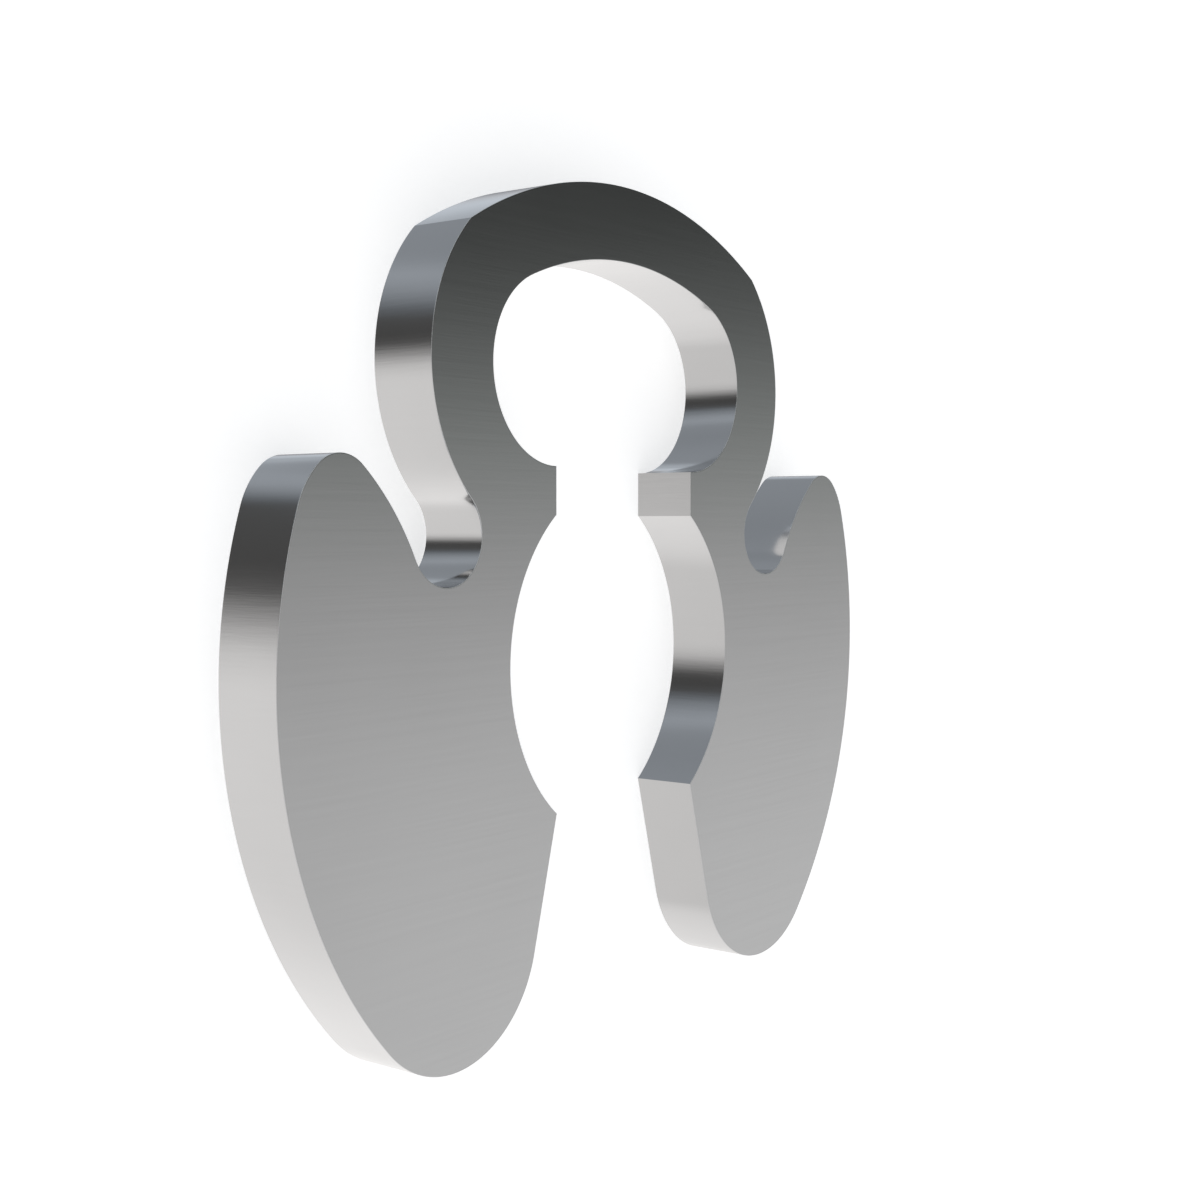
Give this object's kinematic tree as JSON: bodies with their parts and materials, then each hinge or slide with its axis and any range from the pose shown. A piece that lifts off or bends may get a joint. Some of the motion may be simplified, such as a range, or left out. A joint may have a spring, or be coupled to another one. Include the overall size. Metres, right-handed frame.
{
  "type": "external retaining ring",
  "caption": "Side-fitted external retaining ring of flat spring steel: two lobes grip a shaft groove, and a bow with an eyelet springs them.",
  "frame": {"origin": "centre of the shaft-groove circle, on the ring's lower face", "axes": "+Z along the shaft, out of the ring's upper face; +Y from the groove's centre to the middle of the bow; +X to the right, seen from +Z with the bow up. The ring lies on its lower face at z = 0."},
  "size_m": [0.0204, 0.018, 0.0015],
  "materials": {
    "spring_steel": "satin, finely brushed, bright"
  },
  "bodies": {
    "root": {"retaining_ring": "spring_steel"}
  },
  "joints": []
}
